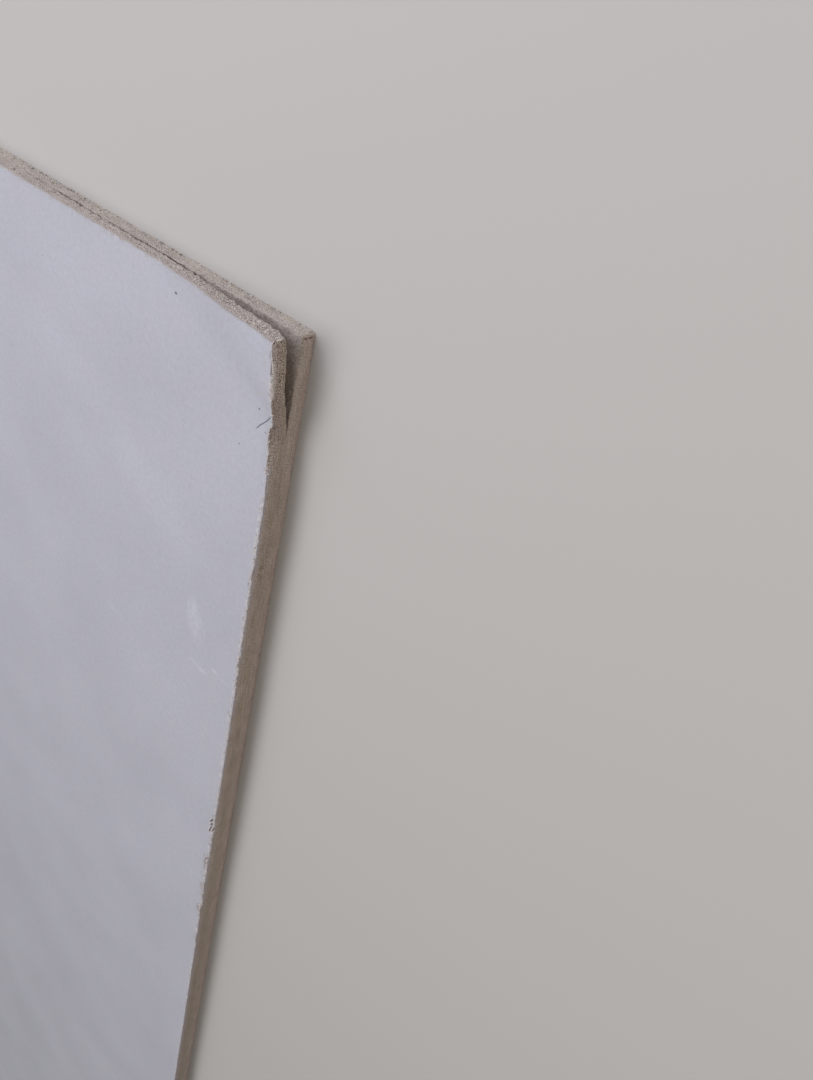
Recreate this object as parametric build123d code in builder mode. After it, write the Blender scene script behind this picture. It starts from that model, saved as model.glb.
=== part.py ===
from build123d import *
import os

# A fiber cement board: one full sheet of stock, lying on its back with the smooth face up.
# It has been dropped on one corner. There the sheet is split along its middle, and the upper half curls up.
# Everything is in millimetres, with the origin at the middle of the back face, +X along the long side,
# +Y along the short side and +Z out of the smooth face. The split corner is the one at +X, +Y.

# The sheet
sheet_length = 2440.0
sheet_width = 1220.0
thickness = 12.0
corner_wear = 1.5  # radius to which the dropped corner is worn, seen from above

# The split, a hairline along the middle of the sheet that opens on both edges of the dropped corner
split_height = 6.0  # of the split's middle above the back face
split_gap = 0.4
split_along_length = 155.0  # from the corner to the split's end on the long edge
split_along_width = 50.0  # the same on the short edge

# The flap, the upper half beyond a fold line that cuts across the corner
fold_along_length = 62.0  # from the corner to the fold on the long edge
fold_along_width = 36.0  # the same on the short edge
curl_radius = 30.0  # of the smooth face through the bend
curl_angle = 13.5  # at which the flap stands up beyond the bend, in degrees

# The strip of smooth skin that has peeled off the flap's short edge, as a slanted arris
peel_width = 1.3  # across the smooth face
peel_depth = 0.8  # down the cut edge

corner_x = sheet_length / 2
corner_y = sheet_width / 2
lower_half = split_height - split_gap / 2
upper_half = thickness - split_height - split_gap / 2

# The fold line, the level direction across it towards the corner, and how far the corner is from it
fold_line = Vector(fold_along_length, -fold_along_width)
fold_start = Vector(corner_x - fold_along_length, corner_y)
across_fold = Vector(fold_along_width, fold_along_length).normalized()
fold_to_corner = (Vector(corner_x, corner_y) - fold_start).dot(across_fold)
section_plane = Plane(origin=fold_start, x_dir=across_fold, z_dir=across_fold.cross(Vector(0, 0, 1)))


def corner_triangle(along_length, along_width):
    """The corners of the triangle that a straight line cuts off the dropped corner."""
    on_long_edge = (corner_x - along_length, corner_y)
    on_short_edge = (corner_x, corner_y - along_width)
    return (corner_x, corner_y), on_long_edge, on_short_edge


# The sheet's outline seen from above
with BuildSketch() as outline:
    Rectangle(sheet_length, sheet_width)
    dropped_corner = outline.vertices().group_by(Axis.X)[-1].sort_by(Axis.Y)[-1]
    fillet(dropped_corner, corner_wear)


# The flap as a bent strip of constant thickness, trimmed to the outline
with BuildPart() as flap:
    with BuildSketch(section_plane):
        with BuildLine():
            bend = JernArc((0, thickness), (1, 0), curl_radius, curl_angle)
            Line(bend @ 1, bend @ 1 + (bend % 1) * 2 * fold_to_corner)
            offset(amount=upper_half, side=Side.RIGHT)
        make_face()
    extrude(amount=fold_line.length, both=True)
    extrude(outline.sketch, amount=thickness + 2 * fold_to_corner, mode=Mode.INTERSECT)
    # The peeled strip runs along the straight part of the flap's edge on the short side
    flap_face = flap.faces().filter_by(GeomType.PLANE).sort_by(Axis.Z)[-1]
    peeled_edge = flap_face.edges().filter_by(GeomType.LINE).sort_by(Axis.X)[-1]
    chamfer(peeled_edge, length=peel_width, length2=peel_depth, reference=flap_face)


with BuildPart() as board:
    extrude(outline.sketch, amount=thickness)
    with BuildSketch(Plane.XY.offset(lower_half)):
        Polygon(*corner_triangle(split_along_length, split_along_width), align=None)
    extrude(amount=split_gap, mode=Mode.SUBTRACT)
    # The upper half beyond the fold line gives way to the flap
    with BuildSketch(Plane.XY.offset(lower_half)):
        Polygon(*corner_triangle(fold_along_length, fold_along_width), align=None)
    extrude(amount=thickness, mode=Mode.SUBTRACT)
    add(flap.part)

board.part.label = "board"
os.makedirs("parts", exist_ok=True)
export_step(board.part, "parts/board.step")

size = board.part.bounding_box().size
print("sheet", round(size.X, 1), "by", round(size.Y, 1), "by", thickness, "mm")
print("height at the curled corner in mm", round(size.Z, 1))
print("solids", len(board.solids()), "volume in litres", round(board.part.volume / 1e6, 2))
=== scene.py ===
# %% [markdown]
# # A fiber cement board, dropped on one corner
#
# Fiber cement board is cement and cellulose fibers, pressed into a flat sheet. Its face is smooth and
# pale, its back keeps the ribs of the felt that it was made on, and its cut edges show the grey-beige
# body. This sheet was dropped on a corner. There it has split along its middle, and the upper half curls
# up like the cover of a book.
#
# The CAD model is loaded first as a fixed frame. Everything is in metres in it: the sheet lies on its
# back on the floor, with +X along its length, +Y along its width and +Z out of its face.

# %% Load the frame
import math
import random
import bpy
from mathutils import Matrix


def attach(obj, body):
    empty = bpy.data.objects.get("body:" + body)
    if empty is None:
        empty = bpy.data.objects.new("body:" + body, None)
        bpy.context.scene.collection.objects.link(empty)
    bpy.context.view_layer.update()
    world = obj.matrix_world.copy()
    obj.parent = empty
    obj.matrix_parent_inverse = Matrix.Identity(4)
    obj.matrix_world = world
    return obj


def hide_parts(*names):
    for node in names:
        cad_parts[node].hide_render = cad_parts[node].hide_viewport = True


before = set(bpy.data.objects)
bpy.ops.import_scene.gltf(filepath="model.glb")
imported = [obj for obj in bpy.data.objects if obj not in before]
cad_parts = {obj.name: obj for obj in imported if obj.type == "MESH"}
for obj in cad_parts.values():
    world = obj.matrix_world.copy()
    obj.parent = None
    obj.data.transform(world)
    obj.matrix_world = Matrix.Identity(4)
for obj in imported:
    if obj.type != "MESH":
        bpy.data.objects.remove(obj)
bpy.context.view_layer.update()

from types import SimpleNamespace

import bmesh
import bpy
import numpy as np
from bmesh.types import BMEdge, BMFace, BMVert
from mathutils import Matrix, Vector, noise

MM = 0.001

# %% [markdown]
# ## Sizes
#
# The sizes are those of the CAD model. The split runs along the middle of the sheet, from a point on the
# long edge round the corner to one on the short edge. Distances near the dropped corner are measured
# back from it, as one would with a rule.

# %% Sizes
LENGTH, WIDTH, THICKNESS = 2440 * MM, 1220 * MM, 12 * MM
CORNER = Vector((LENGTH / 2, WIDTH / 2, 0))  # the dropped corner, where +X and +Y meet
CORNER_WEAR = 1.5 * MM
SPLIT_HEIGHT = 6 * MM
SPLIT_GAP = 0.4 * MM
SPLIT_ON_LONG, SPLIT_ON_SHORT = 155 * MM, 50 * MM
print("split, in mm along each edge", SPLIT_ON_LONG / MM, SPLIT_ON_SHORT / MM)

# %% [markdown]
# ## Camera
#
# The camera comes first, since it decides where detail pays. It looks down on the dropped corner at
# about 45 degrees and is rolled, so that the long edge falls to the right and the short edge runs down
# the picture. Three directions fix its turn: right and up in the picture, and back towards the viewer.

# %% Camera
CAMERA_PLACE = Vector((1.3836, 0.7172, 0.1899))
LOOKING = Vector((-0.4154, -0.5758, -0.7042)).normalized()
PICTURE_UP = Vector((-0.5151, 0.7870, -0.3396))
FOCAL_LENGTH = 28.33  # mm on a 36 mm sensor, as a phone's main lens sees


def put_in_scene(name, data):
    """Makes an object of the data."""
    made = bpy.data.objects.new(name, data)
    bpy.context.collection.objects.link(made)
    return made


camera_data = bpy.data.cameras.new("camera")
camera_data.lens = FOCAL_LENGTH
camera_data.clip_start = 0.01
camera = put_in_scene("camera", camera_data)
right = LOOKING.cross(PICTURE_UP).normalized()
up = right.cross(LOOKING)
turn = Matrix((right, up, -LOOKING)).transposed().to_4x4()
camera.matrix_world = Matrix.Translation(CAMERA_PLACE) @ turn
bpy.context.scene.camera = camera
print("camera is", round((CAMERA_PLACE - CORNER).length / MM), "mm from the dropped corner")

# %% [markdown]
# ## The sheet's outline
#
# A sheet this large can't be fine all over. What shows is its edge, so the mesh is a belt of fine rings
# round one plain face. The outline starts as a one-cell grid, a vertex bevel wears the dropped corner,
# and the sides are divided, finely near that corner and coarsely elsewhere.

# %% Start the outline
bm = bmesh.new()
bmesh.ops.create_grid(bm, x_segments=1, y_segments=1, size=0.5)
bmesh.ops.scale(bm, vec=(LENGTH, WIDTH, 1), verts=bm.verts)
bmesh.ops.translate(bm, vec=(0, 0, THICKNESS), verts=bm.verts)
dropped = [v for v in bm.verts if v.co.x > 0 and v.co.y > 0]
bmesh.ops.bevel(bm, geom=dropped, offset=CORNER_WEAR, offset_type="OFFSET", affect="VERTICES", segments=4,
                profile=0.5, material=-1)
bmesh.ops.delete(bm, geom=bm.faces[:], context="FACES_ONLY")
print("outline has", len(bm.verts), "vertices")


# %% Divide the sides
def split_off(side, start, length):
    """Splits a length off the start of a side. Returns the new vertex and the rest of the side."""
    _, end = bmesh.utils.edge_split(side, start, length / side.calc_length())
    return end, next(edge for edge in end.link_edges if start not in edge.verts)


def divide(side, start, stretches):
    """Divides a side from its start. Each stretch has its end, or None for the side's own, and a spacing."""
    done = 0
    for reach, spacing in stretches:
        length = side.calc_length() if reach is None else reach - done
        pieces = round(length / spacing)
        for _ in range(pieces if reach else pieces - 1):
            start, side = split_off(side, start, length / pieces)
        done = reach


COARSE = (None, 7 * MM)
FINE_ON_LONG = ((SPLIT_ON_LONG - CORNER_WEAR, 0.5 * MM), (184 * MM, 0.6 * MM), COARSE)
FINE_ON_SHORT = ((SPLIT_ON_SHORT - CORNER_WEAR, 0.5 * MM), (345 * MM, 0.6 * MM), (540 * MM, 1.2 * MM), COARSE)
sides = [edge for edge in bm.edges if edge.calc_length() > 0.1]
for side in sides:
    middle = (side.verts[0].co + side.verts[1].co) / 2
    start = min(side.verts, key=lambda v: (v.co - CORNER).length)
    divide(side, start, FINE_ON_LONG if middle.y > 0.1 else FINE_ON_SHORT if middle.x > 0.1 else [COARSE])
print("outline now has", len(bm.verts), "vertices")

# %% [markdown]
# ## Rings round the edge
#
# Each ring is an extrusion of the one before. From the arris, a joiner's word for a sharp edge, rings
# step inwards over the face and down the cut edge, and then inwards over the back. Each vertex stores
# its way inwards, which extrusion copies. Near the four corners it slants like the mitre of a frame.

# %% Store each vertex's way inwards
MITRE = 12 * MM
inwards = bm.verts.layers.float_vector.new("inwards")
ring_inset = bm.verts.layers.float.new("inset")
for v in bm.verts:
    from_ends = LENGTH / 2 - abs(v.co.x)
    from_sides = WIDTH / 2 - abs(v.co.y)
    v[inwards] = Vector((-math.copysign(max(0, 1 - from_ends / MITRE), v.co.x),
                         -math.copysign(max(0, 1 - from_sides / MITRE), v.co.y), 0))


# %% Extrude the rings
def next_ring(mesh, ring, step_in, step_down):
    """Extrudes a ring of edges inwards and down. Returns the new ring."""
    made = bmesh.ops.extrude_edge_only(mesh, edges=ring)["geom"]
    new_verts = {item for item in made if isinstance(item, BMVert)}
    for v in new_verts:
        v.co += v[inwards] * step_in
        v[ring_inset] += step_in
        v.co.z -= step_down
    return [item for item in made if isinstance(item, BMEdge) and new_verts.issuperset(item.verts)]


FACE_RINGS = (0.25, 0.5, 0.8, 1.1, 1.4, 1.8, 2.4, 3.2, 4.4)  # mm in from the arris
BACK_RINGS = (0.4, 1, 2)
EDGE_ROWS = 20  # even, so that one row lies at the split's height
face_rim = bm.edges[:]
rows = [face_rim]
for step in np.diff(FACE_RINGS, prepend=0):
    face_rim = next_ring(bm, face_rim, step * MM, 0)
for _ in range(EDGE_ROWS):
    rows.append(next_ring(bm, rows[-1], 0, THICKNESS / EDGE_ROWS))
back_rim = rows[-1]
for step in np.diff(BACK_RINGS, prepend=0):
    back_rim = next_ring(bm, back_rim, step * MM, 0)
face_middle = bmesh.ops.contextual_create(bm, geom=face_rim)["faces"]
bmesh.ops.contextual_create(bm, geom=back_rim)
bmesh.ops.recalc_face_normals(bm, faces=bm.faces)
print("faces in the rings", len(bm.faces))

# %% [markdown]
# ## The split
#
# The middle row is torn open between the two ends of the split, which gives two rims. A straight line
# through the sheet, where the split stops, closes each to a face: the underside of the upper half, and
# the ledge on the lower half.

# %% Tear the middle row open
def back_from_corner(spot):
    """Distances back from the dropped corner, along the long edge and along the short one."""
    return CORNER.x - spot.x, CORNER.y - spot.y


def split_depth(spot):
    """1 at the dropped corner, 0 on the line where the split stops, and less beyond it."""
    along_long, along_short = back_from_corner(spot)
    return 1 - along_long / SPLIT_ON_LONG - along_short / SPLIT_ON_SHORT


torn_open = [edge for edge in rows[EDGE_ROWS // 2] if all(split_depth(v.co) > -0.001 for v in edge.verts)]
bmesh.ops.split_edges(bm, edges=torn_open)
rim = [edge for edge in bm.edges if edge.is_boundary]
upper_rim = [edge for edge in rim if edge.link_faces[0].calc_center_median().z > SPLIT_HEIGHT]
lower_rim = [edge for edge in rim if edge.link_faces[0].calc_center_median().z < SPLIT_HEIGHT]
rim_ends = {v for edge in upper_rim for v in edge.verts} & {v for edge in lower_rim for v in edge.verts}
stop = bm.edges.new(tuple(rim_ends))
underside = bmesh.ops.contextual_create(bm, geom=upper_rim + [stop])["faces"]
ledge = bmesh.ops.contextual_create(bm, geom=lower_rim + [stop])["faces"]
print("rim edges", len(upper_rim), "above and", len(lower_rim), "below")

# %% [markdown]
# The face, the underside and the ledge are still single polygons, which can't bend. Planes cut their
# corner into a lattice, and the rest of each stays whole.

# %% Cut the corner's faces so that they can bend
FLAP_ON_LONG, FLAP_ON_SHORT = 64 * MM, 36 * MM  # where the fold line meets the two edges
to_corner = Vector((FLAP_ON_SHORT, FLAP_ON_LONG, 0)).normalized()  # level, square to the fold line
along_fold = Vector((-to_corner.y, to_corner.x, 0))
LATTICE_REACH = FLAP_ON_LONG * to_corner.x + 8 * MM  # from the corner, square to the fold


def cut(mesh, faces, spot, direction):
    """Cuts faces by one plane and returns all of them."""
    parts = set(faces)
    for face in faces:
        parts.update(face.edges)
        parts.update(face.verts)
    made = bmesh.ops.bisect_plane(mesh, geom=list(parts), dist=1e-6, plane_co=spot, plane_no=direction)
    return [item for item in made["geom"] if isinstance(item, BMFace)]


def lattice(mesh, faces, spacing):
    """Cuts the corner's part of the faces along and across the fold line. Returns that part."""
    faces = cut(mesh, faces, CORNER - to_corner * LATTICE_REACH, to_corner)
    flap = [face for face in faces if (CORNER - face.calc_center_median()).dot(to_corner) < LATTICE_REACH]
    for step in range(1, int(LATTICE_REACH / spacing)):
        flap = cut(mesh, flap, CORNER - to_corner * step * spacing, to_corner)
    nearest, farthest = -FLAP_ON_SHORT * 1.3 * along_fold.y, -FLAP_ON_LONG * 1.3 * along_fold.x
    for step in range(round(nearest / spacing), round(farthest / spacing)):
        flap = cut(mesh, flap, CORNER + along_fold * step * spacing, along_fold)
    return flap


flap_face = lattice(bm, face_middle, 1.6 * MM)
flap_underside = lattice(bm, underside, 2 * MM)
flap_ledge = lattice(bm, ledge, 2 * MM)
print("faces on the flap", len(flap_face), "under it", len(flap_underside))

# %% [markdown]
# ## Notes for the finish
#
# Before anything moves, each vertex keeps its flat place as an attribute, so that the finish follows the
# sheet into the curl. Six more attributes, from 0 to 1, say where the pressed skin is gone, rubbed thin
# or bruised pale, where the body is torn and grainy, where dirt sits or shade is painted dark, and where
# skin is frayed to fibers.

# %% Keep the flat place and sort the halves
WEAR = ("bare", "rubbed", "bruised", "torn", "dirt_and_shade", "frayed")
place = bm.verts.layers.float_vector.new("flat_place")
bare, rubbed, bruised, torn, dirt_and_shade, frayed = (bm.verts.layers.float.new(name) for name in WEAR)
for v in bm.verts:
    v[place] = v.co
above = [face for face in bm.faces if face.calc_center_median().z > SPLIT_HEIGHT + 0.1 * MM]
upper = {v for face in above + flap_underside for v in face.verts}
inner = {v for face in flap_underside + flap_ledge for v in face.verts}
bmesh.ops.triangulate(bm, faces=flap_face + flap_underside + flap_ledge)
print("vertices in the upper half", len(upper))


# %% Small measures of wear
def clamp(value, low=0, high=1):
    return min(max(value, low), high)


def ramp(value, none, full):
    """Runs from 0 where the value is none to 1 where it is full."""
    return clamp((value - none) / (full - none))


def ripple(spot, grain, seed=0):
    """Smooth noise between about -1 and 1 whose bumps are about grain wide, in mm."""
    return noise.noise(spot / (grain * MM) + Vector((seed, seed * 1.7, seed * 0.3)))


def nearest_side(flat):
    """The side that a spot is nearest to, and its distance back from the dropped corner in mm."""
    along_long, along_short = back_from_corner(flat)
    others = min(WIDTH - along_short, LENGTH - along_long)
    if along_short < min(along_long, others):
        return "long", along_long / MM
    if along_long < others:
        return "short", along_short / MM
    return "other", 1000


def rounded(inset, depth, radius):
    """How far a spot of a square arris moves in and down to be on a round one."""
    if max(inset, depth) >= radius:
        return 0, 0
    reach = math.hypot(radius - inset, radius - depth)
    return (radius - inset) * (1 - radius / reach), (radius - depth) * (1 - radius / reach)


# %% [markdown]
# ## Wear on the arrises and the cut edge
#
# A saw leaves a matt, slightly torn edge. Along the long side the arris has rubbed off to a soft round.
# Along the short side it is crisp, bruised pale, and hangs out in places. There it has lost notches and
# chips, and next to the corner a strip of skin has peeled off behind a short crack.
#
# Noise moves the rings by a few tenths of a millimetre, more where the blow has crumbled the flap. It is
# a fixed function of place, so every run gives this sheet. Lengths here are in mm: s is the distance
# back from the corner, inset the one in from the arris and depth the one below it.

# %% What is missing from the short side's arris
CHIPS = (  # of skin: middle, half length, reach in from the arris, depth, contrast of the fray
    (93, 4, 0.7, 0.3, 0.4), (111, 3, 0.7, 0.3, 0.4), (147, 3, 0.7, 0.3, 0.4),
    (249, 8, 3, 0.2, 0.1), (278, 9, 2.8, 0.5, 0.8), (288, 4, 2, 0.4, 0.8),
    (299, 5, 2.8, 0.5, 0.8), (306, 4, 1.6, 0.3, 0.7), (319.5, 5, 3, 0.5, 0.8),
    (328, 3, 1.5, 0.3, 0.7))
NOTCHES = (  # where the arris has broken away whole: middle, half length, how far it is set back
    (3, 4.5, 0.5), (26.5, 5, 0.3), (35.8, 6.2, 1.85), (42.5, 6.5, 1.1), (52, 4, 0.35),
    (93.5, 3, 0.4), (138, 3.5, 0.5), (279, 9, 0.35), (289, 4, 0.5), (299, 4, 0.5),
    (306, 3, 0.6), (320.5, 6, 0.7), (334, 4, 0.3), (348, 5, 0.6))
PEEL_FROM, PEEL_TO, PEEL_WIDTH, PEEL_DEPTH = 6, 21, 0.95, 0.65
CRACK_FROM, CRACK_TO, CRACK_INSET, CRACK_DEPTH = 6.8, 13.2, 0.8, 0.35
FRAY_FROM = 262  # beyond this the chips are frayed so deep that the body shows


def chipped(s, inset):
    """How much of the short side's skin has chipped off, how deep, and how frayed it is."""
    for middle, half, reach, depth, fray in CHIPS:
        left = reach * clamp(2.2 * (1 - abs(s - middle) / half)) - inset
        if left > 0:
            return clamp(2.2 * left), depth * clamp(2.2 * left), fray
    return 0, 0, 0


def set_back(s):
    """How far the short side's arris has broken away here."""
    return max(amount * clamp(2.5 * (1 - abs(s - middle) / half)) for middle, half, amount in NOTCHES)


def overhang(s):
    """How far the skin stands out over the short side's cut edge."""
    return 0.12 + 0.3 * ramp(s, 56, 62) * ramp(s, 94, 88) + 0.45 * ramp(s, 148, 156) * ramp(s, 240, 232)


print("chips", len(CHIPS), "notches", len(NOTCHES))


# %% Look at one vertex of the belt
def tear(side, s, height):
    """How torn the cut edge is, from 0 to 1."""
    upper_half = ramp(height, 5.5, 6.5)
    if side == "long":
        near_face = ramp(height, 9, 11.5) * ramp(s, 18, 30)
        return (0.5 + upper_half * (0.15 + 0.35 * ramp(s, 96, 36))) * (1 - 0.7 * near_face)
    if side == "short":
        near_arris = ramp(height, 9, 10.5) * ramp(s, 20, 30)
        crumbled = 0.6 * upper_half * ramp(s, 34.2, 16.2) + 0.25 * ramp(abs(s - 94), 10, 0)
        return 0.3 + crumbled + 0.3 * near_arris
    return 0.35


def look_at(v):
    """What the wear of a vertex depends on."""
    flat = v[place]
    side, s = nearest_side(flat)
    inset, height = v[ring_inset] / MM, flat.z / MM
    jagged = ripple(flat, 1.25, 5) + 0.7 * ripple(flat, 2.9, 6)
    return SimpleNamespace(flat=flat, side=side, s=s, inset=inset, height=height, jagged=jagged,
                           depth=THICKNESS / MM - height, nicks=max(0, jagged - 0.1),
                           on_cut=inset < 0.01, on_face=height > 11.9)


print("tear at the corner's top", round(tear("short", 0, 12), 2))


# %% Wear of the arrises: how far a vertex moves in and down, and the radius of the arris
def wear_long_arris(v, at):
    """The long side's arris is rubbed off, and darker near the corner."""
    worn_in = 0.2 + 0.6 * ramp(at.s, 40, 24)
    v[rubbed] = clamp(0.55 + (worn_in - at.inset) / 0.8 + 0.5 * at.jagged) + 0.35 * ramp(at.inset, 3, 0)
    v[bare] = clamp((worn_in - at.inset + at.depth - 0.2) / 0.6 + 0.4 * at.jagged)
    v[dirt_and_shade] = 0.28 * ramp(at.s, 42, 28) * ramp(at.inset, 0.96, 0.36) * ramp(at.depth, 1.5, 0.5)
    return 0, 0, 0.35 + 0.5 * worn_in + 0.2 * ripple(at.flat, 9, 2)


def wear_short_arris(v, at):
    """The short side's arris is crisp and bruised, with a lacy fringe, notches and an overhang."""
    v[rubbed] = 0.25 * ramp(at.inset, 1.2, 0.2)
    v[bruised] = 0.8 * clamp(1.5 * at.jagged - 0.3) * ramp(at.inset, 1.4, 0.4) * ramp(at.depth, 1, 0)
    v[bare] = clamp(-0.1 - at.inset + 0.45 * at.depth + 0.3 * at.jagged * ramp(at.inset, 1, 0))
    fray = 0.35 * at.nicks * ramp(at.inset, 1.6, 0) * ramp(at.depth, 1.8, 0)
    notch = set_back(at.s + 0.8 * ripple(at.flat, 2, 36)) * (1 + 0.25 * ripple(at.flat, 1.3, 37))
    if at.on_cut:
        broken_in = notch * ramp(at.depth, 1.8 * notch + 0.3, 0) - overhang(at.s) * ramp(at.depth, 0.85, 0)
        v[bare] = max(v[bare], clamp(notch) * clamp(0.55 + at.depth), 0.9 * ramp(at.s, 50, 45))
    else:
        broken_in = notch * (1 - at.inset / FACE_RINGS[-1])
        fringe = 3.2 * ripple(at.flat, 1.2, 95) * ramp(at.inset, 1.9, 0.9)
        v[bare] = max(v[bare], 0.8 * clamp(fringe - 0.2))
        v[bruised] = max(v[bruised], 0.7 * clamp(-fringe - 0.25))
    v[bruised] *= clamp(1 - notch)
    v[dirt_and_shade] = 0.2 * clamp(notch) * clamp(0.3 + at.depth)
    return fray + broken_in, 0.25 * fray, 0.15 + 0.2 * at.nicks


def wear_arris(v, at):
    """The wear of any arris, with its rounding. Returns only the two moves."""
    if at.side == "long":
        move_in, move_down, radius = wear_long_arris(v, at)
    elif at.side == "short":
        move_in, move_down, radius = wear_short_arris(v, at)
    else:
        move_in, move_down, radius = 0, 0, 0.5 + 0.3 * at.nicks
    if at.on_cut or at.depth < 0.01:
        rounded_in, rounded_down = rounded(at.inset, at.depth, radius)
        return move_in + rounded_in, move_down + rounded_down
    return move_in, move_down


# %% Wear of the cut edge: how far a vertex moves in
def wear_cut_edge(v, at):
    """The cut is gritty all over, wavy near the back, and has dents and a stain on the short side."""
    if at.side == "other" or at.height < 6:
        v[bare] = ramp(at.depth, 0, 0.4)
    grit = 0.5 * ripple(at.flat, 0.8, 11) + 0.8 * ripple(at.flat, 1.6, 3) + 0.6 * ripple(at.flat, 3.6, 8)
    move_in = v[torn] * 0.5 * grit + 0.03
    wave = max(0, ripple(at.flat, 15, 21) + 0.3 * ripple(at.flat, 4, 22))
    near_back = ramp(at.height, 3.5, 0)
    if at.side == "long":
        slanted = Vector((at.flat.x + 0.9 * at.flat.z, 0, 0.25 * at.flat.z))
        move_in += 0.3 * ripple(slanted, 1.9, 81) * ramp(at.height, 6, 8) * ramp(at.s, 60, 20)
        move_in += (0.7 * wave + 0.4 * at.nicks) * near_back
    elif at.side == "short":
        move_in += (0.25 * wave + 0.45 * at.nicks) * near_back ** 2
        in_crumbled = ramp(at.height, 6.8, 7.6) * ramp(at.height, 10.3, 9.3) * ramp(at.s, 22, 11)
        dents = clamp(2.2 * ripple(at.flat, 2.1, 91) - 0.35) * in_crumbled
        move_in += 0.5 * dents
        stain = clamp(1.3 - math.hypot((at.s - 94) / 4, (at.height - 7.6) / 1.4))
        # Dents are darkened by their depth, as painted shade in the hollows; the stain round 94 mm is
        # darkened too.
        v[dirt_and_shade] = 0.5 * dents + 0.6 * stain * clamp(0.5 + 1.5 * at.jagged)
        # Two slits at the corner are cut in and painted dark, as painted shade in them.
        if 1.4 < at.s < 1.6 and (1 < at.height < 2.9 or 3.5 < at.height < 5.3):  # two slits at the corner
            move_in += 0.4
            v[dirt_and_shade] = 1
    return move_in


def stain_short_edge(v, at):
    """Dirt and bruises on the short side's cut, most of them near the corner."""
    blots = clamp(2 * ripple(at.flat, 1.3, 93) - 0.25) * ramp(at.s, 13.5, 4.5) * ramp(at.height, 6.5, 7)
    v[dirt_and_shade] = max(v[dirt_and_shade],
                   0.13 * ramp(at.s, 300, 330) * ramp(at.height, 6, 7.5),
                   0.6 * blots * ramp(at.depth, 0, 1.2),
                   0.8 * clamp(1.3 - math.hypot((at.s - 1.5) / 0.9, (at.height - 9.7) / 0.7)),
                   0.26 * ramp(at.s, 14, 20) * ramp(at.s, 44, 36) * ramp(at.height, 6.5, 10))
    near_tip = 0.35 * ramp(at.s, 8, 6) + 0.4 * ramp(at.s, 4, 2.5)
    v[bruised] = max(v[bruised],
                     near_tip * ramp(at.depth, 2.24, 0.84) * clamp(0.7 + at.jagged),
                     0.42 * ramp(at.s, 50, 40) * ramp(abs(at.height - 4), 2.2, 0))


# %% Loss of skin on the short side: how far a vertex moves in and down
def chip(v, at):
    """Skin that has chipped off, frayed along the direction of the fibers."""
    shaky_s, shaky_inset = at.s + 0.7 * ripple(at.flat, 2, 31), at.inset + 0.9 * ripple(at.flat, 1.7, 32)
    amount, depth, contrast = chipped(shaky_s, shaky_inset)
    if at.on_face:
        stripes = ripple(Vector((at.flat.x - 0.55 * at.flat.y, 0.3 * at.flat.y, 0)), 0.9, 35)
        v[bare] = max(v[bare], amount * (0.62 - 0.1 * contrast) * ramp(at.s, FRAY_FROM, FRAY_FROM + 6))
        v[frayed] = amount * contrast
        v[bruised] = max(v[bruised] * (1 - amount), 0.3 * amount * clamp(0.6 + at.jagged))
        return 0, depth * (0.6 + 0.5 * contrast * stripes)
    if at.on_cut:
        return amount * 0.5 * ramp(at.depth, 1.5, 0), 0
    return 0, 0


def peel_and_crack(v, at):
    """The peeled strip is a pale slanted facet. Behind it the skin is cracked, and bruised by the crack."""
    move_down = 0
    peel = ramp(at.s, PEEL_FROM, PEEL_FROM + 1.5) * ramp(at.s, PEEL_TO, PEEL_TO - 0.8)
    width = PEEL_WIDTH * (0.85 + 0.2 * ripple(at.flat, 4, 42))
    if at.on_face and at.inset < width:
        move_down = peel * PEEL_DEPTH * (1 - at.inset / width) * (1 + 0.12 * ripple(at.flat, 2, 41))
        v[bare] = max(v[bare], peel)
        pale = clamp(1 - 0.2 * at.inset + 0.3 * ripple(at.flat, 3, 43))
        v[bruised] = max(v[bruised] * (1 - peel), peel * pale)
    elif at.on_cut and at.depth < 3:
        move_down = peel * PEEL_DEPTH * (1 - at.depth / 3)
        v[bruised] = max(v[bruised], peel * ramp(at.depth, 1.6, 0.6))
        v[dirt_and_shade] *= 1 - peel * ramp(at.depth, 1.6, 0.6)
    # The crack is cut down and painted dark, as painted shade in it.
    crack = ramp(at.s, CRACK_FROM, CRACK_FROM + 2) * ramp(at.s, CRACK_TO, CRACK_TO - 2)
    if crack > 0 and abs(at.inset - CRACK_INSET) < 0.05:
        move_down += crack * CRACK_DEPTH
        v[dirt_and_shade] = max(v[dirt_and_shade], 0.9 * crack)
    elif at.on_face and at.s < 22 and 0.9 < at.inset < 2:
        v[bruised] = max(v[bruised], 0.55 * clamp(0.5 + at.jagged) * clamp(2 - at.inset))
    return 0, move_down


# %% Wear the belt
WORN_REACH = 4  # in from the arris
worn = 0
for v in bm.verts:
    at = look_at(v)
    if at.inset > WORN_REACH or v in inner and not at.on_cut:
        continue
    v[torn] = tear(at.side, at.s, at.height)
    moves = [wear_arris(v, at) if at.height > 6 else (0, 0)]
    if at.on_cut:
        moves.append((wear_cut_edge(v, at), 0))
    if at.side == "short":
        if at.on_cut:
            stain_short_edge(v, at)
        moves += [chip(v, at), peel_and_crack(v, at)]
    move_in, move_down = (sum(parts) for parts in zip(*moves))
    v.co += v[inwards].normalized() * move_in * MM
    v.co.z -= move_down * MM
    worn += 1
print("vertices worn", worn)

# %% [markdown]
# ## Curl
#
# The upper half lifts off the lower one. Its rise was measured along both edges, and a table of each,
# with its kinks rounded, gives the rise of any spot by the line through it along the fold. The split
# wanders a little between the layers of the sheet, and takes both rims along. The blow left the flap's
# corner sharper than the lower half's.

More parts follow.
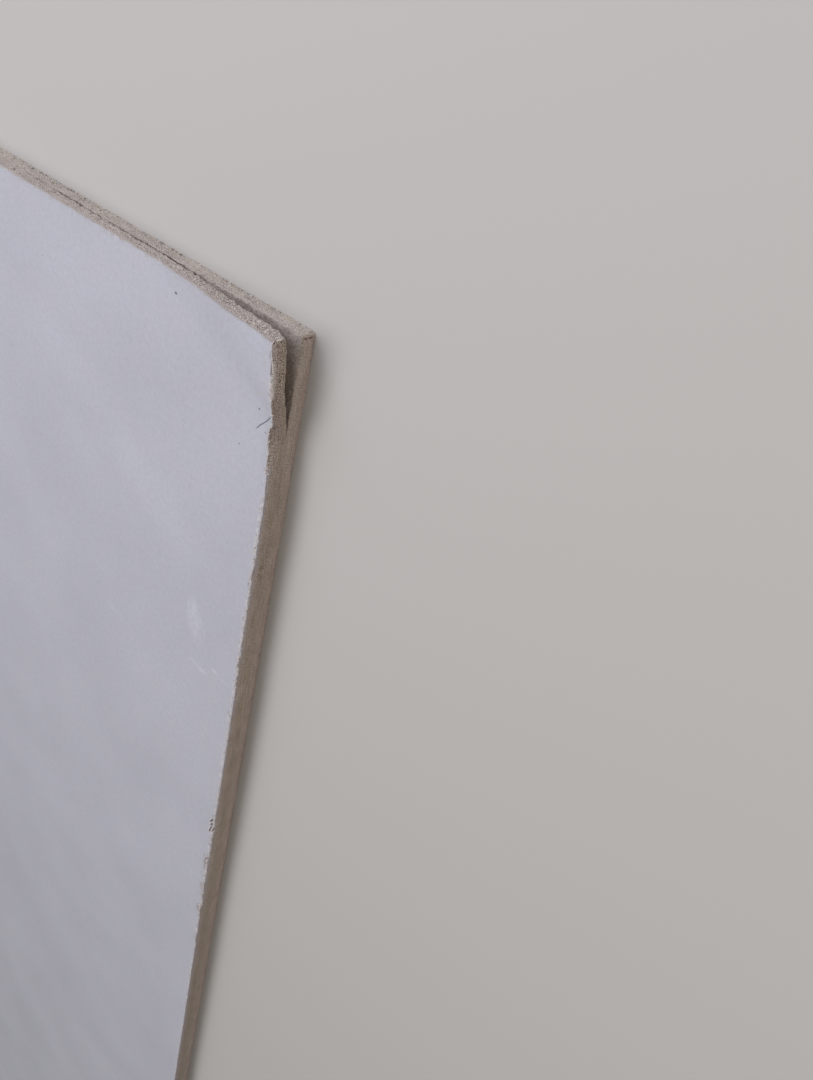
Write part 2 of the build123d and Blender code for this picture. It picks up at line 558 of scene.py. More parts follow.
# %% Measured rise of the flap
RISE_ON_LONG = (  # in mm: back from the corner, and how high the edge has risen there
    (0, 6.3), (4, 4.8), (11, 3.85), (17, 3.55), (23, 3.25), (34, 2.15), (42, 1.35), (52, 0.5), (64, 0))
RISE_ON_SHORT = (
    (0, 6.3), (4.3, 5.3), (12.7, 4.3), (18.5, 3.75), (23, 2.7), (27, 1.4), (31.7, 0.4), (36, 0))
TABLE_STEP, TABLE_END = 0.25, 170
stations = np.arange(0, TABLE_END, TABLE_STEP)


def soften(points, window):
    """A table of the line through measured points, with its kinks rounded over a window in mm."""
    shifts = np.linspace(-window, window, 9)
    return np.mean([np.interp(np.abs(stations + shift), *zip(*points)) for shift in shifts], axis=0)


def look_up(table, s):
    """The table's value at a distance from the corner, both in metres."""
    position = clamp(s / MM / TABLE_STEP, 0, len(table) - 1.001)
    step = int(position)
    return (table[step] + (table[step + 1] - table[step]) * (position - step)) * MM


rise_on_long = soften(RISE_ON_LONG, 2).tolist()
rise_on_short = soften(RISE_ON_SHORT, 1.5).tolist()
print("rise of the corner", round(rise_on_long[0], 1), "mm")


def rise(flat):
    """How far the upper half rises here."""
    along_long, along_short = (max(value, 0) for value in back_from_corner(flat))
    whole = along_long / FLAP_ON_LONG + along_short / FLAP_ON_SHORT
    if whole >= 1.3:
        return 0
    towards_short = along_short / FLAP_ON_SHORT / whole if whole > 0 else 0.5
    on_long = look_up(rise_on_long, whole * FLAP_ON_LONG)
    on_short = look_up(rise_on_short, whole * FLAP_ON_SHORT)
    return on_long + (on_short - on_long) * towards_short


def unevenness(flat):
    """The split is straighter on the short edge than elsewhere."""
    return 0.4 + 0.6 * ramp(back_from_corner(flat)[0], 0, 3 * MM)


def wander(flat):
    """How far the split lies above the sheet's middle here."""
    along_long, along_short = back_from_corner(flat)
    opened = clamp(split_depth(flat) * 5)
    swell = (0.45 + 0.2 * ramp(along_long, 35 * MM, 60 * MM)) * math.exp(-max(along_short, 0) / (8 * MM))
    steps = 0.45 * ripple(flat, 2.6, 52) + 0.5 * ripple(flat, 1.4, 53)
    return opened * (swell + 0.25 * ripple(flat, 8, 51) + steps * unevenness(flat)) * MM


# %% Lift the flap
SHUT_FROM, SHUT_TO = 29.5 * MM, 34.5 * MM  # on the short edge the split closes here
TORN_LAYER_HEIGHT = 3.5 * MM  # of the pinkish layer that both torn faces show


def squared(flat, inset):
    """How far the flap's rounded corner moves out to be sharp again."""
    centre = CORNER - Vector((1, 1, 0)) * (CORNER_WEAR + inset)
    out = Vector((flat.x - centre.x, flat.y - centre.y, 0))
    if min(out.x, out.y) <= 0 or inset > 4 * MM:
        return Vector((0, 0, 0))
    return out * (out.length / max(out.x, out.y) - 1)


for v in bm.verts:
    flat = v[place]
    opened = clamp(split_depth(flat) * 6)
    if opened <= 0:
        continue
    to_split = 1 - abs(flat.z - SPLIT_HEIGHT) / SPLIT_HEIGHT
    along_long, along_short = back_from_corner(flat)
    hairline = 1 + (1.6 * ripple(flat, 4.5, 61) + 0.9 * ripple(flat, 1.6, 62)) * unevenness(flat)
    closing = ramp(along_short, SHUT_TO, SHUT_FROM)
    gap = SPLIT_GAP / 2 * opened * clamp(hairline * closing, 0.03, 1.6)
    # Along the closed part of the split the lips are painted dark: painted shade in the hairline.
    if v[ring_inset] < 0.01 * MM and to_split > 0.95 and closing > 0.9:
        v[dirt_and_shade] = max(v[dirt_and_shade], 0.45 * opened * clamp(0.5 + hairline))
    v.co.z += wander(flat) * to_split
    if v in upper:
        v.co.z += rise(flat) + gap * to_split
        v.co += squared(flat, v[ring_inset]) * 0.9 * clamp(0.1 + (flat.z / MM - 6) / 4)
    else:
        v.co.z -= gap * to_split
        if to_split > 0.99 and v[ring_inset] < 0.01 * MM and v not in rim_ends:
            worn = clamp(1.4 - max(along_long, along_short) / (22 * MM))
            v.co += v[inwards].normalized() * worn * (0.45 + 0.3 * ripple(flat, 2, 71)) * MM
            v.co.z -= worn * 0.25 * MM
    if v in inner and v not in rim_ends:
        v.co.z += 0.08 * ripple(flat, 2.4, 73) * MM
        v[place].z = TORN_LAYER_HEIGHT
        # Inside the split the torn faces are painted darker, more from 3 mm in and most where the split is a
        # hairline: painted shade between the halves.
        in_hairline = ramp(rise(flat), 1.2 * MM, 0) * closing
        v[torn], v[bare], v[bruised] = 0.25, 1, 0.3 * (1 - in_hairline)
        v[dirt_and_shade] = max(0.17 + 0.17 * ramp(min(along_long, along_short), 0, 3 * MM), 0.8 * in_hairline)
print("tip is", round(max(v.co.z for v in bm.verts) / MM, 1), "mm above the floor")

# %% [markdown]
# ## The finished mesh
#
# Faces are sorted by what the real surface is: the skin with the cut body, and the ribbed back.

# %% Make the object
SKIN, BACK = 0, 1
SHARPEST_SMOOTH = math.radians(42)  # edges that turn more than this stay sharp
bmesh.ops.recalc_face_normals(bm, faces=bm.faces)
for face in bm.faces:
    face.smooth = True
    centre = face.calc_center_median()
    face.material_index = BACK if centre.z < 0.01 * MM and face.normal.z < -0.9 else SKIN
for edge in bm.edges:
    if len(edge.link_faces) == 2 and edge.calc_face_angle(0) > SHARPEST_SMOOTH:
        edge.smooth = False
mesh = bpy.data.meshes.new("sheet")
bm.to_mesh(mesh)
open_edges = sum(1 for edge in bm.edges if not edge.is_manifold)
bm.free()
sheet = put_in_scene("sheet", mesh)
mesh.calc_loop_triangles()
print("sheet has", len(mesh.loop_triangles), "triangles and", open_edges, "open edges")

# %% [markdown]
# ## Finishes
#
# Each material is a small tree of nodes: patterns at their real size, colours and relief.

# %% Helpers for colours and nodes
def colour(hex_value):
    """A colour that is written in sRGB, as Blender's linear values."""
    parts = [int(hex_value[i:i + 2], 16) / 255 for i in (1, 3, 5)]
    return [*(c / 12.92 if c <= 0.04045 else ((c + 0.055) / 1.055) ** 2.4 for c in parts), 1]


def new_material(name, roughness):
    """Returns a matt material, its node tree and its shader."""
    made = bpy.data.materials.new(name)
    made.use_nodes = True
    shader = made.node_tree.nodes["Principled BSDF"]
    shader.inputs["Roughness"].default_value = roughness
    return made, made.node_tree, shader


def add(tree, kind, inputs=None, out=None, **settings):
    """Adds a node with its settings and links. Returns the output asked for, or the first one in use."""
    made = tree.nodes.new("ShaderNode" + kind)
    for name, value in settings.items():
        setattr(made, name, value)
    for name, value in (inputs or {}).items():
        if isinstance(value, bpy.types.NodeSocket):
            tree.links.new(value, made.inputs[name])
        else:
            made.inputs[name].default_value = value
    return made.outputs[out] if out else next(socket for socket in made.outputs if socket.enabled)


print("mid grey as a linear value", round(colour("#808080")[0], 3))

# %% [markdown]
# ### Pressed skin and cut body
#
# The skin is cement paste pressed smooth: matt, pale and a little blue, with faint clouds, paler scuffs
# and a few dark specks. The body is the same cement full of fibers, browner, in thin layers that show as
# streaks along the cut, and grainy where it is torn. Its index of refraction is near that of glass.
#
# All patterns are noise over the flat place. A noise has as many grains per metre as its scale says, and
# each row names their real width. The finest are about one pixel of the picture. Layers are noise over a
# place that is squeezed along the sheet, so that they run long and stay thin.

# %% Fiber cement: what its patterns vary over
skin, tree, shader = new_material("fiber cement, pressed skin and cut body", 0.82)
shader.inputs["IOR"].default_value = 1.45
spot = add(tree, "Attribute", out="Vector", attribute_name="flat_place")
wear = {name: add(tree, "Attribute", out="Fac", attribute_name=name) for name in WEAR}
layered = add(tree, "Mapping", {"Vector": spot, "Scale": (0.07, 0.07, 1)})
pitted = add(tree, "Mapping", {"Vector": spot, "Rotation": (0, math.radians(-42), 0),
                               "Scale": (0.32 * MM, 0.6 * MM, 1.1 * MM)}, vector_type="TEXTURE")
combed = add(tree, "Mapping", {"Vector": spot, "Rotation": (0, 0, math.radians(-29)),
                               "Scale": (0.8 * MM, 2.8 * MM, MM)}, vector_type="TEXTURE")
print("attributes", ["flat_place", *wear])

# %% Fiber cement: patterns
PATTERNS = (  # name, over what, grains per metre, detail, roughness, part of the noise, and what it becomes
    ("clouds", spot, 18, 3, 0.5, (0.3, 0.7), (0, 1)),  # 55 mm
    ("tint", spot, 75, 2, 0.6, (0.35, 0.65), (0, 1)),  # 13 mm
    ("pores", spot, 500, 5, 0.8, (0.3, 0.7), (0.93, 1.07)),  # 2 mm and finer
    ("patches", spot, 420, 4, 0.5, (0.36, 0.6), (0.3, 1)),  # 2.4 mm, where a scuff has caught
    ("bands", layered, 330, 3, 0.6, (0.32, 0.68), (0, 1)),  # 3 mm high
    ("streaks", layered, 1500, 3, 0.5, (0.3, 0.7), (0, 1)),  # 0.7 mm high, one layer of the body
    ("blotches", spot, 110, 2, 0.5, (0.3, 0.7), (-0.07, 0.07)),  # 9 mm
    ("grains", spot, 2700, 2, 0.7, (0.33, 0.67), (-1, 1)),  # 0.37 mm, sand
    ("pale", spot, 2900, 1, 0.5, (0.57, 0.67), (0, 1)),  # 0.35 mm, the palest grains
    ("ragged", spot, 1200, 2, 0.5, (0.3, 0.7), (-0.35, 0.35)),  # 0.8 mm, how torn skin ends
    ("pits", pitted, 1, 2, 0.5, (0.59, 0.68), (0, 1)),  # 0.3 by 1.1 mm, leaning as the saw went
    # The next two paint frayed fibers: a painted highlight on them and painted shade in the gaps between
    # them.
    ("lit_fibers", combed, 1, 1, 0.5, (0.48, 0.4), (0, 1)),  # 0.8 by 2.8 mm, along the fray
    ("fiber_gap_shade", combed, 1, 1, 0.5, (0.52, 0.58), (0, 1)))
pattern = {}
for name, over, per_metre, detail, roughness, (low, high), (least, most) in PATTERNS:
    grain = add(tree, "TexNoise", {"Vector": over, "Scale": per_metre, "Detail": detail,
                                   "Roughness": roughness})
    pattern[name] = add(tree, "MapRange", {"Value": grain, "From Min": low, "From Max": high, "To Min": least,
                                           "To Max": most})
print("patterns", len(pattern))

# %% Fiber cement: hues of skin and body, and the colour of the skin
HUES = (  # name, the pattern that varies it, from and to
    ("blue", "clouds", "#B4B5BF", "#BABBC6"), ("rosy", "clouds", "#B6B4BE", "#BCBBC4"),
    ("olive", "streaks", "#9A9182", "#B5ABA0"), ("pink", "streaks", "#A49994", "#BEB3AE"))
hue = {name: add(tree, "Mix", {0: pattern[over], 6: colour(low), 7: colour(high)}, data_type="RGBA")
       for name, over, low, high in HUES}
skin_colour = add(tree, "Mix", {0: pattern["tint"], 6: hue["blue"], 7: hue["rosy"]}, data_type="RGBA")
skin_colour = add(tree, "VectorMath", {0: skin_colour, "Scale": pattern["pores"]}, operation="SCALE")
print("skin", len(tree.nodes), "nodes so far")

# %% Scuffs and specks, in mm back from the corner
SCUFFS = (  # from and to, each along the long side and along the short side, half width, strength
    ((31, 124), (24, 147), 6, 0.5), ((29.3, 125.2), (25.8, 131), 1, 0.8),
    ((25.8, 131), (21.9, 134.9), 0.9, 0.8), ((21.9, 134.9), (19.5, 141.4), 0.7, 0.5),
    ((31.3, 157.2), (16.3, 158.6), 0.6, 0.6), ((22.6, 159.1), (16.4, 158), 1.5, 0.9),
    ((14.5, 153), (10.1, 153.4), 1.5, 0.65), ((11.8, 154.3), (1, 154.9), 0.5, 0.6),
    ((87.2, 165.5), (71.3, 171.4), 3, 0.25), ((15.5, 255), (13.5, 256), 1.4, 0.4),
    ((13, 295), (9, 297), 2, 0.4), ((27.8, 36.8), (20.1, 40.5), 0.4, 0.3),
    ((90, 75), (30, 105), 16, 0.2), ((145, 50), (80, 70), 16, 0.18))
SPECKS = (  # along the long side, along the short side, radius
    (52.1, 7.1, 0.75), (7.3, 27.6, 0.5), (3.1, 34.7, 0.45), (129.9, 24.3, 0.28), (14.7, 44.9, 0.4))


def strongest(marks, rim, full, interpolation):
    """The strongest of some soft ellipses, which fade from full to rim, both shares of their half size."""
    found = 0
    for middle, half_length, half_width, turn, strength in marks:
        near = add(tree, "Mapping", {"Vector": spot, "Location": middle, "Rotation": (0, 0, turn),
                                     "Scale": (half_length, half_width, 1)}, vector_type="TEXTURE")
        away = add(tree, "VectorMath", {0: near}, operation="LENGTH")
        mark = add(tree, "MapRange", {"Value": away, "From Min": rim, "From Max": full, "To Max": strength},
                   interpolation_type=interpolation)
        found = add(tree, "Math", {0: found, 1: mark}, operation="MAXIMUM")
    return found


scuff_marks = []
for start, end, half_width, strength in SCUFFS:
    start, end = (CORNER - Vector((*ends, 0)) * MM for ends in (start, end))
    half_length = (end - start).length / 2 + half_width * MM / 2
    turn = math.atan2(end.y - start.y, end.x - start.x)
    scuff_marks.append(((start + end) / 2, half_length, half_width * MM, turn, strength))
speck_marks = [(CORNER - Vector((along_long, along_short, 0)) * MM, radius * MM, 0.7 * radius * MM, 0, 1)
               for along_long, along_short, radius in SPECKS]
scuffed = strongest(scuff_marks, 1, 0.3, "SMOOTHSTEP")
scuffed = add(tree, "Math", {0: scuffed, 1: pattern["patches"]}, operation="MULTIPLY")
specks = strongest(speck_marks, 1.1, 0.5, "LINEAR")
for part, tint in ((scuffed, "#CBCDD6"), (specks, "#5E5A60")):
    skin_colour = add(tree, "Mix", {0: part, 6: skin_colour, 7: colour(tint)}, data_type="RGBA")
print("scuffs", len(scuff_marks), "specks", len(speck_marks))

# %% [markdown]
# The body is pinkish near the back and just under the face, olive between, and pinkish all over on the
# long edge except at its foot. Ramps over the height give this. A little of the bands is added to the
# height, so that the colours meet in layers and not in straight lines.

# %% Fiber cement: colours of the cut body
across = add(tree, "SeparateXYZ", {0: spot}, out="Y")
straight_height = across.node.outputs["Z"]
on_long = add(tree, "MapRange", {"Value": across, "From Min": WIDTH / 2 - MM, "From Max": WIDTH / 2})
height = add(tree, "Math", {0: pattern["bands"], 1: 2 * MM, 2: straight_height}, operation="MULTIPLY_ADD")
from_middle = add(tree, "Math", {0: straight_height, 1: 6.6 * MM}, operation="SUBTRACT")
from_middle = add(tree, "Math", {0: from_middle}, operation="ABSOLUTE")
# The fourth ramp is painted light: it makes the body paler towards the back, against the shade that the floor
# casts on the foot of the cut edge.
RAMPS = (  # name, over what, from and to in mm, value there, shape
    ("under_face", height, (8, 11), (0, 1), "LINEAR"),
    ("near_back", height, (7.5, 3), (0, 1), "LINEAR"),
    ("olive_foot", height, (6, 3), (0, -0.5), "LINEAR"),
    ("painted_light_low", height, (1.5, 7.5), (1.15, 0.98), "SMOOTHSTEP"),
    ("darker_top", height, (9.5, 12), (0, -0.02), "SMOOTHSTEP"),
    ("pale_middle", from_middle, (3, 1), (0, 0.06), "LINEAR"))
ramps = {}
for name, over, (low, high), (first, last), shape in RAMPS:
    ramps[name] = add(tree, "MapRange", {"Value": over, "From Min": low * MM, "From Max": high * MM,
                                         "To Min": first, "To Max": last}, interpolation_type=shape)
pinkish = add(tree, "Math", {0: ramps["under_face"], 1: ramps["near_back"]}, operation="MAXIMUM")
pinkish = add(tree, "Math", {0: on_long, 1: 0.6, 2: pinkish}, operation="MULTIPLY_ADD", use_clamp=True)
pinkish = add(tree, "Math", {0: on_long, 1: ramps["olive_foot"], 2: pinkish}, operation="MULTIPLY_ADD")
body_colour = add(tree, "Mix", {0: pinkish, 6: hue["olive"], 7: hue["pink"]}, data_type="RGBA")
print("ramps over the height", len(ramps))

# %% Fiber cement: tone and grit of the cut body
REACHES = (("grains", 0.35, 1.6), ("pale", 0.4, 1), ("pits", 0.25, 1))  # on a smooth and on a torn cut
reach = {name: add(tree, "MapRange", {"Value": wear["torn"], "To Min": least, "To Max": most})
         for name, least, most in REACHES}
tone = add(tree, "Math", {0: ramps["painted_light_low"], 1: ramps["darker_top"]})
tone = add(tree, "Math", {0: ramps["pale_middle"], 1: on_long, 2: tone}, operation="MULTIPLY_ADD")
tone = add(tree, "Math", {0: tone, 1: pattern["blotches"]})
tone = add(tree, "Math", {0: pattern["grains"], 1: reach["grains"], 2: tone}, operation="MULTIPLY_ADD")
body_colour = add(tree, "VectorMath", {0: body_colour, "Scale": tone}, operation="SCALE")
pale = add(tree, "Math", {0: pattern["pale"], 1: reach["pale"]}, operation="MULTIPLY")
body_colour = add(tree, "Mix", {0: pale, 6: body_colour, 7: colour("#D0C8C1")}, data_type="RGBA")
print("reaches", len(reach))

# %% [markdown]
# Skin is first rubbed thin and grey, then it is bare and shows the body, and over both lies what is
# bruised pale. Noise makes each limit ragged. Frayed fibers get a painted highlight, and the gaps between
# them painted shade. Pits and dirt are dark, and so is the shade painted into cracks, slits, dents and
# the hairline of the split.

# %% Fiber cement: skin over body
LAID_ON = (  # what is worn, part of the ragged value, how much of the colour it gets at most, colour
    ("rubbed", (0.1, 1.1), 1, colour("#A39D9C")),
    ("bare", (0.15, 0.85), 1, body_colour),
    ("bruised", (0.2, 0.8), 0.85, colour("#D4CFCF")))
surface = skin_colour
for name, (low, high), most, laid_on in LAID_ON:
    part = add(tree, "Math", {0: wear[name], 1: pattern["ragged"]})
    part = add(tree, "MapRange", {"Value": part, "From Min": low, "From Max": high, "To Max": most})
    surface = add(tree, "Mix", {0: part, 6: surface, 7: laid_on}, data_type="RGBA")
lit, painted_gap_shade = (add(tree, "Math", {0: pattern[name], 1: wear["frayed"]}, operation="MULTIPLY")
             for name in ("lit_fibers", "fiber_gap_shade"))
surface = add(tree, "Mix", {0: lit, 6: surface, 7: colour("#D6D2D6")}, data_type="RGBA")
# One dark brown covers pits, dirt and painted shade: the gaps between fibers, and what the attribute holds in
# cracks, slits, dents and the split.
dark = add(tree, "Math", {0: pattern["pits"], 1: reach["pits"]}, operation="MULTIPLY")
dark = add(tree, "Math", {0: dark, 1: wear["bare"]}, operation="MULTIPLY")
for part in (wear["dirt_and_shade"], painted_gap_shade):
    dark = add(tree, "Math", {0: dark, 1: part}, operation="MAXIMUM")
surface = add(tree, "Mix", {0: dark, 6: surface, 7: colour("#65504A")}, data_type="RGBA")
tree.links.new(surface, shader.inputs["Base Color"])
print("layers over the skin", len(LAID_ON))

# %% Fiber cement: relief too fine for the mesh, with grains of 0.9 mm and finer
depth = add(tree, "MapRange", {"Value": wear["bare"], "To Min": 0.05, "To Max": 0.35})
relief = add(tree, "TexNoise", {"Vector": spot, "Scale": 1100, "Detail": 4, "Roughness": 0.65})
relief = add(tree, "Math", {0: relief, 1: depth}, operation="MULTIPLY")
bump = add(tree, "Bump", {"Height": relief, "Distance": 0.5 * MM, "Strength": 1})
tree.links.new(bump, shader.inputs["Normal"])
mesh.materials.append(skin)
print(skin.name, "has", len(tree.nodes), "nodes")

# %% [markdown]
# ### Ribbed back
#
# The sheet was formed on a felt, which prints fine ribs along its back. A wave texture's own pitch is a
# twentieth of a full turn, so its scale is worked out from the ribs' pitch.

# %% Fiber cement: ribbed back
RIB_PITCH = 1.85 * MM
RIB_HEIGHT = 0.12 * MM
back, tree, shader = new_material("fiber cement, felt-marked back", 0.9)
spot = add(tree, "TexCoord", out="Object")
ribs = add(tree, "TexWave", {"Vector": spot, "Scale": 2 * math.pi / RIB_PITCH / 20, "Distortion": 1.2,
                             "Detail": 2, "Detail Scale": 3}, out="Fac", bands_direction="Y")
mottle = add(tree, "TexNoise", {"Vector": spot, "Scale": 120, "Detail": 4})  # 8 mm
shade = add(tree, "Mix", {0: mottle, 6: colour("#968A80"), 7: colour("#ADA299")}, data_type="RGBA")
tree.links.new(shade, shader.inputs["Base Color"])
bump = add(tree, "Bump", {"Height": ribs, "Distance": RIB_HEIGHT})
tree.links.new(bump, shader.inputs["Normal"])
mesh.materials.append(back)
print(back.name, "has ribs every", RIB_PITCH / MM, "mm")

# %% Tie the sheet to the frame
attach(sheet, "root")
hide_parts("board")

# %% [markdown]
# ## Crumbs and burrs
#
# The blow and the saw left grit on the cut edges, and flakes of skin along the short arris, with slits
# between pale splinters. Each slit is a thin piece painted dark, as painted shade between the splinters.
# These pieces wear the sheet's own finish, so each stores its place and its looks in the attributes that
# the finish reads. Random numbers come from one seed.

# %% Helpers for small loose pieces
random.seed(7)


def start_pieces():
    """A mesh with the layers that the finish reads."""
    made = bmesh.new()
    layers = {"flat_place": made.verts.layers.float_vector.new("flat_place")}
    for name in ("bare", "bruised", "torn", "dirt_and_shade"):
        layers[name] = made.verts.layers.float.new(name)
    return made, layers


def finish_pieces(pieces, layers, name, looks):
    """Stores each piece's looks and turns the mesh into an object of the frame."""
    for v, values in looks:
        v[layers["flat_place"]] = v.co
        for layer, value in values.items():
            v[layers[layer]] = value
    data = bpy.data.meshes.new(name)
    pieces.to_mesh(data)
    pieces.free()
    data.materials.append(skin)
    made = put_in_scene(name, data)
    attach(made, "root")
    print(name, "has", len(data.polygons), "faces")


def on_edge(side, s, height, out=0):
    """A place on a cut edge, by its distance back from the corner and its height, in mm."""
    flat = CORNER + (Vector((-s, out, height)) if side == "long" else Vector((out, -s, height))) * MM
    return flat + Vector((0, 0, rise(flat))) if height > 6.2 else flat


# %% Crumbs
CRUMBS = (  # side, from and to along it, from and to in height, how many, largest radius, in mm
    ("long", 0, 60, 6.6, 11, 110, 0.36), ("long", 60, 172, 6.6, 11, 130, 0.3),
    ("long", 0, 172, 0.5, 5.4, 240, 0.34), ("long", 0, 172, 0.45, 0.8, 60, 0.42),
    ("long", 0.5, 6, 4.6, 5.8, 7, 0.4), ("short", 0, 5, 3.5, 5.6, 5, 0.35),
    ("short", 1, 24, 7.2, 10.4, 60, 0.34), ("short", 24, 340, 0.6, 11, 160, 0.28),
    ("short", 0, 420, 0.45, 0.8, 110, 0.4), ("short", 90, 100, 5, 8, 16, 0.34),
    ("short", 242, 254, 0.55, 0.9, 8, 0.55), ("short", 96, 132, 0.5, 0.9, 12, 0.5))
SUNK = 0.12  # how far a crumb's middle lies inside the edge
STRETCHES = ((0.7, 1.3), (0.7, 1.3), (0.6, 1))
crumbs, crumb_layers = start_pieces()
looks = []
for side, start, end, low, high, count, largest in CRUMBS:
    for _ in range(count):
        radius = largest * random.uniform(0.45, 1) * MM
        place_on_edge = on_edge(side, random.uniform(start, end), random.uniform(low, high), -SUNK)
        angle = random.uniform(0, 6.28)
        turn = Matrix.Rotation(angle, 4, Vector((random.uniform(-1, 1), random.uniform(-1, 1), 1)))
        stretch = Matrix.Diagonal([*(random.uniform(*span) for span in STRETCHES), 1])
        made = bmesh.ops.create_icosphere(crumbs, subdivisions=1, radius=radius,
                                          matrix=Matrix.Translation(place_on_edge) @ turn @ stretch)
        pale_crumb, dark_crumb = random.random() < 0.35, random.random() < 0.3
        values = {"bare": 1, "torn": 0.7, "bruised": 0.8 * pale_crumb, "dirt_and_shade": 0.5 * dark_crumb}
        for v in made["verts"]:
            v.co += (v.co - place_on_edge) * 0.5 * ripple(v.co, 0.5, 99)
            looks.append((v, values))
finish_pieces(crumbs, crumb_layers, "edge_crumbs", looks)

# %% Burrs
BURRS = 1150
BURR_STRETCHES = ((22, 345), (76, 145), (142, 245), (210, 330))  # in mm back from the corner
BURR_SIZES = ((0.2, 0.5), (0.25, 0.8), (0.06, 0.14))  # across the arris, along it and in height
BURR_TURNS = ((-0.6, 1, "Y"), (-0.8, 0.8, "Z"))
burrs, burr_layers = start_pieces()
looks = []
for _ in range(BURRS):
    s = random.choice([random.uniform(*stretch) for stretch in BURR_STRETCHES])
    size = Vector([random.uniform(*span) for span in BURR_SIZES]) * MM
    set_in = random.uniform(-0.35, 0.7) + set_back(s)
    height = 12 + random.uniform(-0.04, 0.1) - 0.3 * clamp(-2 * set_in)
    turns = [Matrix.Rotation(random.uniform(*span), 4, axis) for *span, axis in BURR_TURNS]
    spot = on_edge("short", s, height, -set_in)
    matrix = Matrix.Translation(spot) @ turns[0] @ turns[1] @ Matrix.Diagonal((*size, 1))
    for v in bmesh.ops.create_cube(burrs, size=1, matrix=matrix)["verts"]:
        v.co += Vector((0.2 * ripple(v.co, 0.4, 97), 0.2 * ripple(v.co, 0.4, 98), 0)) * MM
        looks.append((v, {"torn": 0.3, "bruised": random.uniform(0.7, 1.3)}))

# %% Slits and splinters where the skin has torn along the fibers
SLITS = (  # from and to, each in from the short arris and back from the corner
    ((2.3, 245.4), (0.7, 241.8)), ((2, 247.9), (1, 245.6)), ((2, 252.6), (0.8, 247)),
    ((0.5, 251.4), (-0.2, 248.6)))
# The slit's dark look is painted shade between its two splinters.
SLIT_PARTS = (  # beside the middle, width, height, looks: the slit and its two splinters
    (0, 0.95, 0.06, {"bare": 1, "dirt_and_shade": 1.1}),
    (0.8, 0.5, 0.3, {"bare": 0.1, "bruised": 1.4}),
    (-0.7, 0.4, 0.2, {"bare": 0.1, "bruised": 1.4}))
for slit in SLITS:
    start, end = (on_edge("short", s, 12, -inset) for inset, s in slit)
    along = (end - start).normalized()
    across = Vector((-along.y, along.x, 0))
    turn = Matrix((along, across, Vector((0, 0, 1)))).transposed().to_4x4()
    for shift, width, height, values in SLIT_PARTS:
        middle = (start + end) / 2 + across * shift * MM
        stretch = Matrix.Diagonal(((end - start).length, width * MM, height * MM, 1))
        matrix = Matrix.Translation(middle) @ turn @ stretch
        for v in bmesh.ops.create_cube(burrs, size=1, matrix=matrix)["verts"]:
            narrowing = 1 - 0.6 * abs((v.co - middle).dot(along)) / (end - start).length
            v.co += across * (narrowing - 1) * (v.co - middle).dot(across)
            looks.append((v, values))
finish_pieces(burrs, burr_layers, "skin_burrs", looks)

# %% [markdown]
# ## Loose fiber
#
# One dark fiber has come out of the body and lies on the skin. It is a thin tube along a short curve.

# %% Loose fiber
ROUTE = (  # back from the corner along each side, and above the face, in mm
    (1.3, 27.3, 0.2), (3.4, 30.2, 0.1), (4.8, 31.6, 0.08), (6.6, 33.4, 0.08), (7.7, 35.1, 0.07))
route = []
for along_long, along_short, above in ROUTE:
    flat = CORNER - Vector((along_long, along_short, 0)) * MM
    flat.z = THICKNESS
    route.append(flat + Vector((0, 0, rise(flat) + above * MM)))
fiber_curve = bpy.data.curves.new("loose_fiber", "CURVE")
fiber_curve.dimensions = "3D"
fiber_curve.bevel_depth = 0.075 * MM
fiber_curve.bevel_resolution = 2
line = fiber_curve.splines.new("NURBS")
line.points.add(len(route) - 1)
for point, spot in zip(line.points, route):
    point.co = (*spot, 1)
line.order_u = 3
line.use_endpoint_u = True
made = put_in_scene("fiber_curve", fiber_curve)
bpy.context.view_layer.update()
fiber_mesh = bpy.data.meshes.new_from_object(made.evaluated_get(bpy.context.evaluated_depsgraph_get()))
bpy.data.objects.remove(made)
fiber = put_in_scene("loose_fiber", fiber_mesh)
dark_fiber, tree, shader = new_material("cellulose fiber, dark", 0.7)
spot = add(tree, "TexCoord", out="Object")
mottle = add(tree, "TexNoise", {"Vector": spot, "Scale": 900})  # 1.1 mm
shade = add(tree, "Mix", {0: mottle, 6: colour("#1E1B20"), 7: colour("#37333B")}, data_type="RGBA")
tree.links.new(shade, shader.inputs["Base Color"])
fiber_mesh.materials.clear()
fiber_mesh.materials.append(dark_fiber)
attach(fiber, "root")
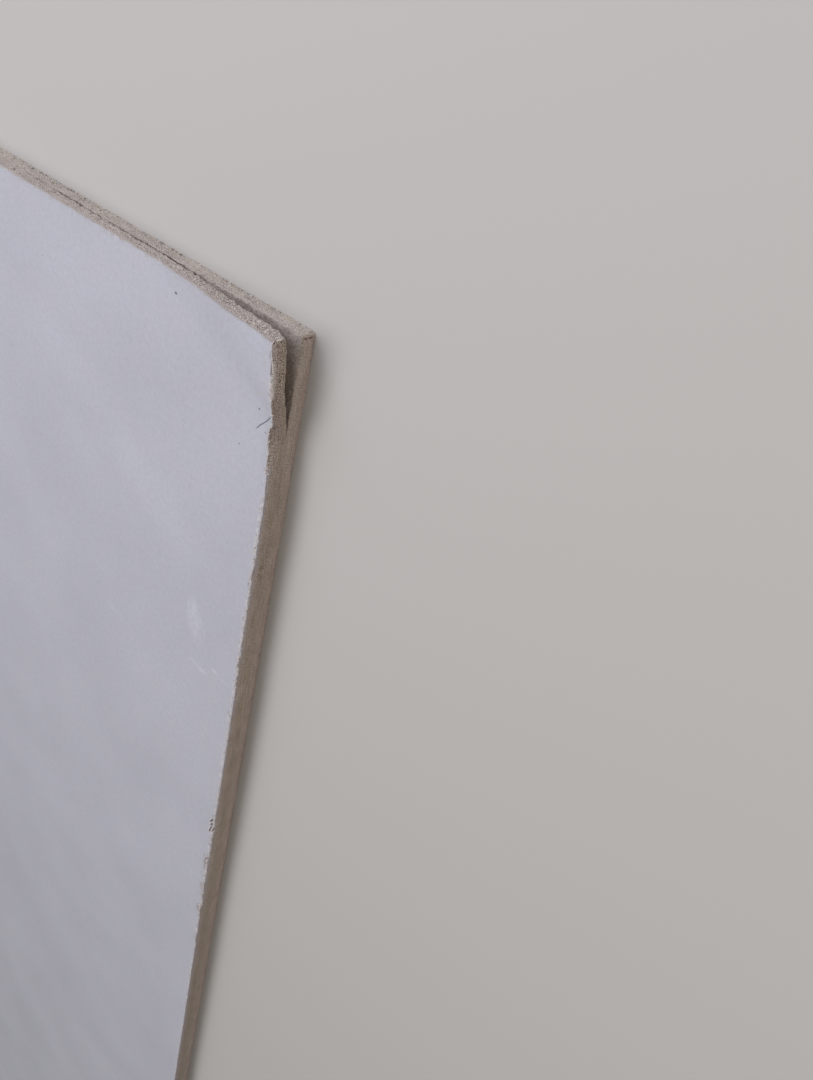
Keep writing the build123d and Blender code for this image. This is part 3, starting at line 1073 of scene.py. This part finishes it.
print("loose fiber spans", round((route[-1] - route[0]).length / MM), "mm")

# %% [markdown]
# ## Floor and light
#
# The floor is plain and pale. The key is a soft light from the far end of the sheet, which leaves the
# short edge in its own shade. A window-like lamp beyond the long edge brightens that edge and fades down
# the face. The shade gets a little warm light back from the room.

# %% Floor
FLOOR_HALF = 20
CLEARANCE = 0.05 * MM  # keeps the floor from flickering through the back
floor_mesh = bmesh.new()
bmesh.ops.create_grid(floor_mesh, x_segments=1, y_segments=1, size=FLOOR_HALF)
bmesh.ops.translate(floor_mesh, vec=(0, 0, -CLEARANCE), verts=floor_mesh.verts)
floor_data = bpy.data.meshes.new("floor")
floor_mesh.to_mesh(floor_data)
floor_mesh.free()
floor = put_in_scene("floor", floor_data)
pale, _, shader = new_material("pale studio floor", 0.9)
shader.inputs["Base Color"].default_value = colour("#BDBAB7")
floor_data.materials.append(pale)
print("floor", FLOOR_HALF * 2, "m wide")

# %% Light
world = bpy.data.worlds.new("studio")
bpy.context.scene.world = world
world.use_nodes = True
background = world.node_tree.nodes["Background"]
background.inputs["Color"].default_value = (1, 0.98, 0.95, 1)
background.inputs["Strength"].default_value = 0.25
LAMPS = (  # name, kind, place from the dropped corner, strength, size or softness, colour
    ("key", "SUN", (-0.55, -0.05, 1), 1.14, math.radians(35), (1, 1, 1)),
    ("window", "AREA", (-0.35, 0.68, 0.65), 7.4, 0.9, (0.9, 0.935, 1.03)),
    ("warm_room", "AREA", (1, 0.15, 0.35), 1.9, 0.8, (1, 0.74, 0.52)))
for name, kind, from_corner, strength, size, tint in LAMPS:
    lamp = bpy.data.lights.new(name, kind)
    lamp.energy = strength
    lamp.color = tint
    holder = put_in_scene(name, lamp)
    facing = Vector(from_corner).to_track_quat("Z", "Y").to_matrix().to_4x4()
    if kind == "SUN":  # only its direction counts
        lamp.angle = size
        holder.matrix_world = facing
    else:
        lamp.size = size
        holder.matrix_world = Matrix.Translation(CORNER + Vector(from_corner)) @ facing
bpy.context.scene.view_settings.view_transform = "Standard"
print("lamps", len(LAMPS))
